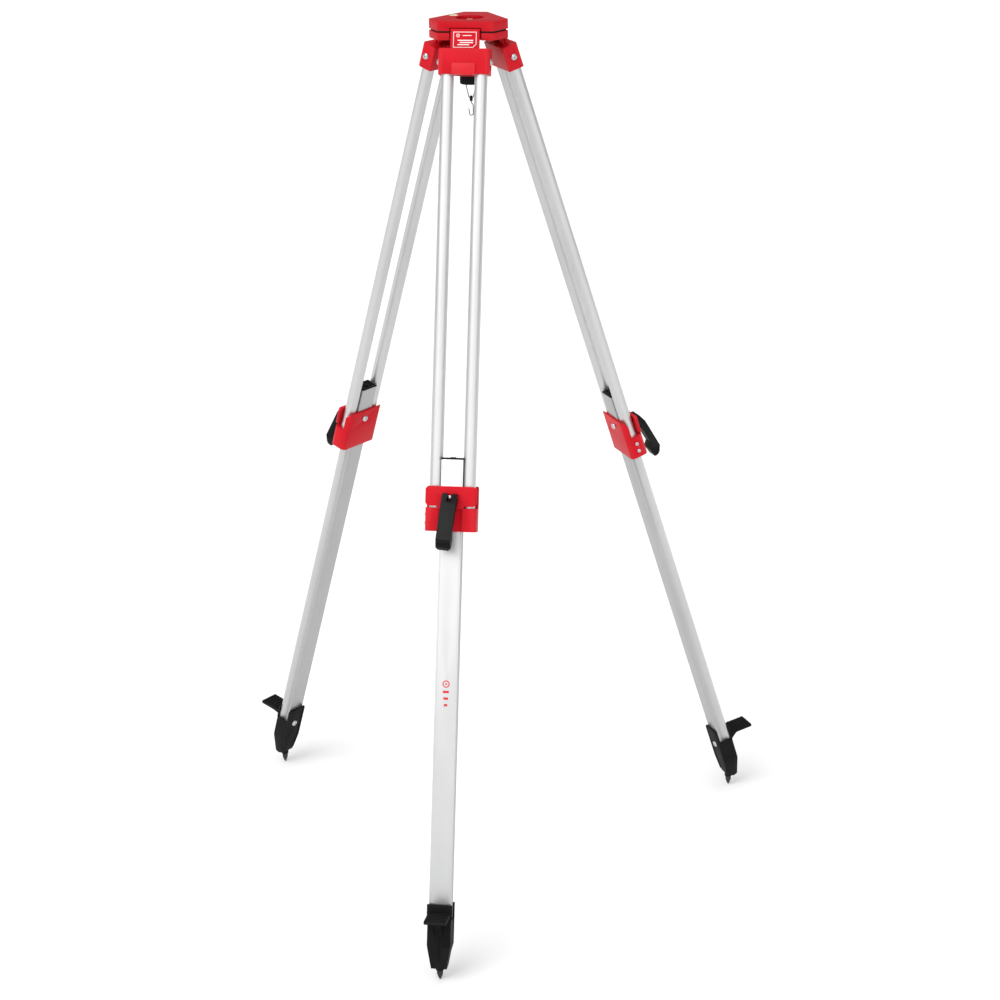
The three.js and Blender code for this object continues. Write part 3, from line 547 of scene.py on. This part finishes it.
for part in frame["record"]["subparts"]:
    node = part["node"]
    kind = node.rsplit("_", 1)[0] if node.rsplit("_", 1)[-1] in SIDES else node
    obj = frame["nodes"][node]
    obj.data.materials.clear()
    obj.data.materials.append(MATERIALS[SPECIAL_FINISH.get(node, part["material_slot"])])
    finish_edges(obj, BEVELS.get(kind, 0.1), weld=True)

# ---------------------------------------------------------------- head pieces


def knob_shape(low, high):
    """Ribbed grip with a hollow underneath."""
    ribs = 28
    radius = 20.0

    def wave(angle, here, z):
        if here < radius - 3:
            return 0
        return -1.1 * (0.5 - 0.5 * math.cos(ribs * angle)) ** 2

    profile = [
        (8.4, low + 7),
        (13.4, low + 7),
        (13.6, low + 0.6),
        (14.2, low),
        (radius - 1.6, low),
        (radius - 0.5, low + 0.5),
        (radius, low + 1.6),
        (radius, high - 1.6),
        (radius - 0.5, high - 0.5),
        (radius - 1.6, high),
        (8.4, high),
    ]
    return lathe(profile, segments=ribs * 8, wave=wave)


def thread_shape(radius, depth, pitch, low, high):
    """Screw with a real helical thread and a chamfered tip."""
    segments, steps = 36, 6
    rows = int((high - low) / pitch * steps)
    points, faces = [], []
    for row in range(rows + 1):
        z = low + (high - low) * row / rows
        for i in range(segments):
            phase = (z / pitch - i / segments) % 1
            here = radius - depth * abs(2 * phase - 1)
            here = min(here, radius - 2.6 + (high - z) * 0.8)
            angle = 2 * math.pi * i / segments
            points.append((here * math.cos(angle), here * math.sin(angle), z))
    for row in range(rows):
        for i in range(segments):
            j = (i + 1) % segments
            base, over = row * segments, (row + 1) * segments
            faces.append([base + i, base + j, over + j, over + i])
    faces.append(list(range(segments))[::-1])
    faces.append([rows * segments + i for i in range(segments)])
    return points, faces


def head_z(node, corner):
    """Height of a node's low (0) or high (1) side in the head frame, in millimetres."""
    return (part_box(node)[corner].z - plate_high.z) / MM


SCREW_RADIUS = 7.9
THREAD_DEPTH = 1.1
THREAD_PITCH = 2.31

knob_low, knob_high = head_z("centring_knob", 0), head_z("centring_knob", 1)
make(
    "knob_grip", knob_shape(knob_low, knob_high), HEAD, "black_moulding", "centring_screw",
    ["centring_knob"],
)
screw_end, screw_tip = head_z("centring_screw", 0), head_z("centring_screw", 1)
make(
    "screw_thread", thread_shape(SCREW_RADIUS, THREAD_DEPTH, THREAD_PITCH, screw_end, screw_tip),
    HEAD, "thread", "centring_screw", ["centring_screw"],
)


def wire(name, points, radius, body, replaces):
    """Round wire through points given in the head frame."""
    curve = bpy.data.curves.new(name, "CURVE")
    curve.dimensions = "3D"
    curve.bevel_depth = radius * MM
    curve.bevel_resolution = 4
    curve.resolution_u = 6
    curve.use_fill_caps = True
    spline = curve.splines.new("POLY")
    spline.points.add(len(points) - 1)
    for target, point in zip(spline.points, points):
        target.co = (*(HEAD @ Vector(point)), 1)
    curve.materials.append(MATERIALS["dark_steel"])
    obj = bpy.data.objects.new(name, curve)
    bpy.context.scene.collection.objects.link(obj)
    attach(obj, body)
    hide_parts(*replaces)


def rounded_route(corners, radius, steps=6):
    """Polyline whose corners are replaced by arcs of about that radius."""
    route = [Vector(corners[0])]
    for before, corner, after in zip(corners, corners[1:], corners[2:]):
        corner = Vector(corner)
        into = (Vector(before) - corner)
        out = (Vector(after) - corner)
        reach = min(radius, into.length * 0.45, out.length * 0.45)
        start, end = corner + into.normalized() * reach, corner + out.normalized() * reach
        for i in range(steps + 1):
            f = i / steps
            route.append(start * (1 - f) ** 2 + corner * 2 * f * (1 - f) + end * f ** 2)
    route.append(Vector(corners[-1]))
    return route


WIRE_HALF = 0.9
BAIL_WIRE = 0.8
HOOK_WIRE = 0.85
BAIL_END = 4.0
BAIL_HALF_WIDTH = 10.4
BAIL_FOOT = 3.8
HOOK_BEND = 3.4


def bail():
    """V-shaped wire from the two eyes under the knob down to the swivel."""
    eye = head_z("plumb_bail", 1) - WIRE_HALF
    apex = head_z("plumb_bail", 0) + WIRE_HALF
    half = [(BAIL_FOOT, 0, apex), (BAIL_HALF_WIDTH, 0, eye), (BAIL_END, 0, eye)]
    mirrored = [(-x, y, z) for x, y, z in reversed(half)]
    wire("bail_wire", rounded_route(mirrored + half, 2.0), BAIL_WIRE, "plumb_bail", ["plumb_bail"])


def hook():
    """Shank from the swivel, stepped to one side, and the hook's bend."""
    low, swivel = head_z("plumb_hook", 0), head_z("bail_swivel", 0)
    shank = [(0, 0, swivel + 3), (0, 0, swivel - 3), (HOOK_BEND, 0, swivel - 7)]
    centre = (0, low + HOOK_BEND + WIRE_HALF)
    turn = [(x, 0, z) for x, z in arc(centre, HOOK_BEND, 0, -170, 12)]
    tip = [(-HOOK_BEND - 1.2, 0, low + 13.4)]
    route = rounded_route(shank, 2.5) + turn + tip
    wire("hook_wire", route, HOOK_WIRE, "plumb_hook", ["plumb_hook"])


bail()
hook()


def vial_pieces():
    """Clear domed cap of the bullseye vial, and the ring printed on it."""
    low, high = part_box("vial_lens")
    centre = (low + high) / 2
    place = Matrix.Translation((centre.x, centre.y, high.z)) @ Matrix.Scale(MM, 4)
    radius, rise, depth = 7.2, 1.6, 5.4
    dome = []
    for degrees in range(0, 90, 10):
        angle = math.radians(degrees)
        dome.append((radius * math.cos(angle), rise * math.sin(angle) - rise))
    profile = [(0, -depth), (radius, -depth), *dome, (0, 0)]
    make("vial_dome", lathe(profile), place, "vial", "head", ["vial_lens"])
    ring = [(2.6, 0.02), (3.1, 0.0), (3.1, -0.14), (2.6, -0.12), (2.6, 0.02)]
    lifted = moved(lathe(ring), Matrix.Translation((0, 0, -0.02)))
    make("vial_ring", lifted, place, "gasket", "head")


vial_pieces()

# ---------------------------------------------------------------- legs

TUBE_SPACING = 30.3
TUBE_RADIUS = 11.5
SECTION_HALF_WIDTH = 20.0
SECTION_HALF_DEPTH = 12.3
SECTION_GROOVE = 12.1
SECTION_TOP = 709.0
SECTION_END = 1540.5
TUBE_TOP = 12.5
TUBE_END = 833
HINGE_BOLT_ACROSS = 46.8
SIDE_SCREW_ACROSS = 47.3
SIDE_SCREW_OUTWARD = 2.2
SIDE_SCREWS = (("upper", 809.5), ("lower", 824.8))
# Screw heads as (radius, height, socket radius, socket sides)
HINGE_BOLT_HEAD = (6.2, 3.6, 2.4, 6)
ADJUSTER_HEAD = (6.6, 4.4, 2.6, 6)
FOOT_BOLT_HEAD = (6.8, 3.8, 2.6, 6)
SIDE_SCREW_HEAD = (3.9, 2.2, 1.7, 4)
# Heads on the inner side of a leg, as (outward, down)
ADJUSTER_PLACE = (-16.8, 775.5)
FOOT_BOLT_PLACE = (-16.6, 1550)


def tube_shape(low, high):
    wall = 1.3
    profile = [
        (TUBE_RADIUS - wall, high),
        (TUBE_RADIUS - wall, low),
        (TUBE_RADIUS - 0.4, low),
        (TUBE_RADIUS, low + 0.4),
        (TUBE_RADIUS, high - 0.4),
        (TUBE_RADIUS - 0.4, high),
        (TUBE_RADIUS - wall, high),
    ]
    return lathe(profile, segments=64)


def section_outline():
    """Flat section with hollow sides, rounded lips and two shallow lines on each wide face."""
    half, depth = SECTION_HALF_WIDTH, SECTION_HALF_DEPTH
    lip = 0.9
    reach = math.degrees(math.acos((TUBE_SPACING - half) / SECTION_GROOVE))
    line_at, line_half, line_depth = half - 2.6, 0.45, 0.35
    face = []
    for t in (-line_at, line_at):
        face += [(t - line_half, 0), (t, line_depth), (t + line_half, 0)]
    near = [(t, -depth + inset) for t, inset in face]
    far = [(t, depth - inset) for t, inset in reversed(face)]
    outline = arc((-half + lip, -depth + lip), lip, 180, 270, 4) + near
    outline += arc((half - lip, -depth + lip), lip, 270, 360, 4)
    outline += arc((TUBE_SPACING, 0), SECTION_GROOVE, 180 + reach, 180 - reach, 20)
    outline += arc((half - lip, depth - lip), lip, 0, 90, 4) + far
    outline += arc((-half + lip, depth - lip), lip, 90, 180, 4)
    outline += arc((-TUBE_SPACING, 0), SECTION_GROOVE, reach, -reach, 20)
    return outline


def dome_screw(radius, height, recess, sides):
    """Domed head standing on z = 0 with a sunk drive socket of that many sides."""
    steps = 6
    rim = 0.35
    profile = [(0, -1.0), (radius * 0.5, -1.0), (radius * 0.96, -0.2), (radius, 0.2)]
    for i in range(steps + 1):
        angle = math.radians(80 * i / steps)
        profile.append((radius * math.cos(angle) * 0.98, rim + (height - rim) * math.sin(angle)))
    floor = height - 0.85 * height
    profile += [(recess, height), (recess * 0.96, floor + 0.2), (0, floor)]

    def wave(angle, here, z):
        if here > recess * 1.01 or z < floor + 0.1:
            return 0
        sector = (angle % (2 * math.pi / sides)) - math.pi / sides
        return here * (math.cos(math.pi / sides) / math.cos(sector) - 1)

    return lathe(profile, wave=wave)


def tongue_label(side):
    """Printed outline with one clipped corner, a target and plain bars, on the tongue."""
    face = 6.3
    lift = 0.12
    low, high, half = -52.5, -24.5, 21.0
    clip = 6.0
    outer = [(-half, low), (half, low), (half, high - clip), (half - clip, high), (-half, high)]
    width = 1.1
    inner = [
        (-half + width, low + width),
        (half - width, low + width),
        (half - width, high - clip - 0.5),
        (half - clip - 0.5, high - width),
        (-half + width, high - width),
    ]
    points = [(t, face + lift, s) for t, s in outer + inner]
    points += [(t, face - 0.3, s) for t, s in outer + inner]
    faces = []
    for i in range(5):
        j = (i + 1) % 5
        faces.append([i, j, 5 + j, 5 + i])
        faces.append([10 + i, 15 + i, 15 + j, 10 + j])
        faces.append([i, 10 + i, 10 + j, j])
        faces.append([5 + i, 5 + j, 15 + j, 15 + i])
    marks = [(points, faces)]
    for t0, t1, s0, s1 in (
        (-4, 12, -46.5, -45.2),
        (-13, 15, -38.2, -36.4),
        (-9, 15, -34.4, -32.6),
        (-13, 8, -30.6, -28.8),
    ):
        outline = [(t0, s0), (t1, s0), (t1, s1), (t0, s1)]
        bar = extrude([(t, -s) for t, s in reversed(outline)], face - 0.3, face + lift)
        marks.append(moved(bar, Matrix.Rotation(math.radians(-90), 4, "X")))
    ring = lathe([(2.2, 0), (3.2, 0), (3.2, 0.4), (2.2, 0.4), (2.2, 0)])
    target = facing(INWARD, -12.5, face + lift, -45.8)
    marks.append(moved(ring, target))
    dot = lathe([(0, 0), (0.9, 0), (0.9, 0.4), (0, 0.4)], segments=24)
    marks.append(moved(dot, target))
    make(
        f"label_{side}", joined(*marks), LEG[side], "print_white", f"upper_leg_{side}",
    )


def leg_mark(side):
    """Plain target and bars printed on the sliding leg's outer face."""
    face = SECTION_HALF_DEPTH
    lift = 0.08
    top = 1105.0
    marks = []
    for i in range(3):
        s = top + 20 + i * 12
        half = 5.5 - i * 1.2
        outline = [(-half, -s), (-half, -s - 4.5), (half, -s - 4.5), (half, -s)]
        bar = extrude(outline, face - 0.25, face + lift)
        marks.append(moved(bar, Matrix.Rotation(math.radians(-90), 4, "X")))
    ring = lathe([(4.6, 0), (6.6, 0), (6.6, 0.33), (4.6, 0.33), (4.6, 0)])
    target = facing(INWARD, 0, face + lift, top + 8)
    marks.append(moved(ring, target))
    dot = lathe([(0, 0), (1.8, 0), (1.8, 0.33), (0, 0.33)], segments=24)
    marks.append(moved(dot, target))
    make(
        f"leg_mark_{side}", joined(*marks), LEG[side], "print_red", f"lower_leg_{side}",
    )


def side_profile(points, low, high):
    """Prism across the leg of an outline given as (down, outward)."""
    shape = extrude(points, low, high)
    turn = Matrix(((0, 0, 1, 0), (0, 1, 0, 0), (1, 0, 0, 0), (0, 0, 0, 1)))
    return moved(shape, turn)


def foot_details(side):
    """Rims along the inner plate, a keel down the outer face and the boss of the pedal."""
    plate, rim = -16.2, 1.5
    shapes = []
    rim_outline = [
        (21.2, 1514), (22.8, 1514), (22.8, 1587.5), (14.6, 1620), (13.0, 1620), (21.2, 1587),
    ]
    for sign in (-1, 1):
        outline = [(sign * t, -s) for t, s in rim_outline]
        if sign > 0:
            outline.reverse()
        strip = extrude(outline, plate - rim, plate + 0.3)
        shapes.append(moved(strip, Matrix.Rotation(math.radians(-90), 4, "X")))
    keel = [(1562, 13.0), (1618, 7.5), (1618, 10.6), (1592, 16.9), (1566, 16.4)]
    shapes.append(side_profile(keel, -1.6, 1.6))
    boss = lathe([(0, -2.2), (2.2, -2.2), (2.6, -3.8), (4.4, -3.8), (5.0, -3.2), (5.0, 0), (0, 0)])
    shapes.append(moved(boss, facing(INWARD, -7.5, 14.6, 1566)))
    make(
        f"foot_ribs_{side}", joined(*shapes), LEG[side], "black_moulding",
        f"lower_leg_{side}", bevel=0.4,
    )


def spike_shape():
    radius, cone, length = 5.8, 13.0, 44.0
    return lathe([
        (0, 0),
        (0.7, 0.1),
        (1.2, 0.5),
        (radius * 0.68, cone * 0.5),
        (radius * 0.9, cone * 0.78),
        (radius, cone),
        (radius, length),
        (0, length),
    ])


for side in SIDES:
    upper, lower = f"upper_leg_{side}", f"lower_leg_{side}"
    for name, sign in (("a", -1), ("b", 1)):
        place = LEG[side] @ Matrix.Translation((sign * TUBE_SPACING, 0, 0))
        node = f"tube_{name}_{side}"
        make(
            f"pipe_{name}_{side}", tube_shape(TUBE_TOP, TUBE_END), place, "tube", upper, [node],
        )
    make(
        f"leg_section_{side}", extrude(section_outline(), SECTION_TOP, SECTION_END), LEG[side],
        "section", lower, [f"lower_leg_{side}"], bevel=0.25,
    )
    bolt = [
        moved(dome_screw(*HINGE_BOLT_HEAD), facing(SIDEWAYS, -HINGE_BOLT_ACROSS, 0, 0)),
        moved(dome_screw(*HINGE_BOLT_HEAD), facing(SIDEWAYS.inverted(), HINGE_BOLT_ACROSS, 0, 0)),
    ]
    make(
        f"hinge_bolt_heads_{side}", joined(*bolt), LEG[side], "zinc", upper, [f"hinge_bolt_{side}"],
    )
    adjuster = moved(dome_screw(*ADJUSTER_HEAD), facing(INWARD, 0, *ADJUSTER_PLACE))
    make(f"adjuster_head_{side}", adjuster, LEG[side], "zinc", upper, [f"adjusting_screw_{side}"])
    foot_bolt = moved(dome_screw(*FOOT_BOLT_HEAD), facing(INWARD, 0, *FOOT_BOLT_PLACE))
    make(f"foot_bolt_head_{side}", foot_bolt, LEG[side], "zinc", lower, [f"foot_bolt_{side}"])
    for level, s in SIDE_SCREWS:
        place = facing(SIDEWAYS, -SIDE_SCREW_ACROSS, SIDE_SCREW_OUTWARD, s)
        make(
            f"{level}_screw_head_{side}", moved(dome_screw(*SIDE_SCREW_HEAD), place), LEG[side],
            "zinc", upper, [f"{level}_side_screw_{side}"],
        )
    low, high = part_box(f"spike_{side}")
    centre = (low + high) / 2
    place = Matrix.Translation((centre.x, centre.y, low.z)) @ Matrix.Scale(MM, 4)
    make(f"point_{side}", spike_shape(), place, "dark_steel", lower, [f"spike_{side}"])
    foot_details(side)
    tongue_label(side)
    leg_mark(side)
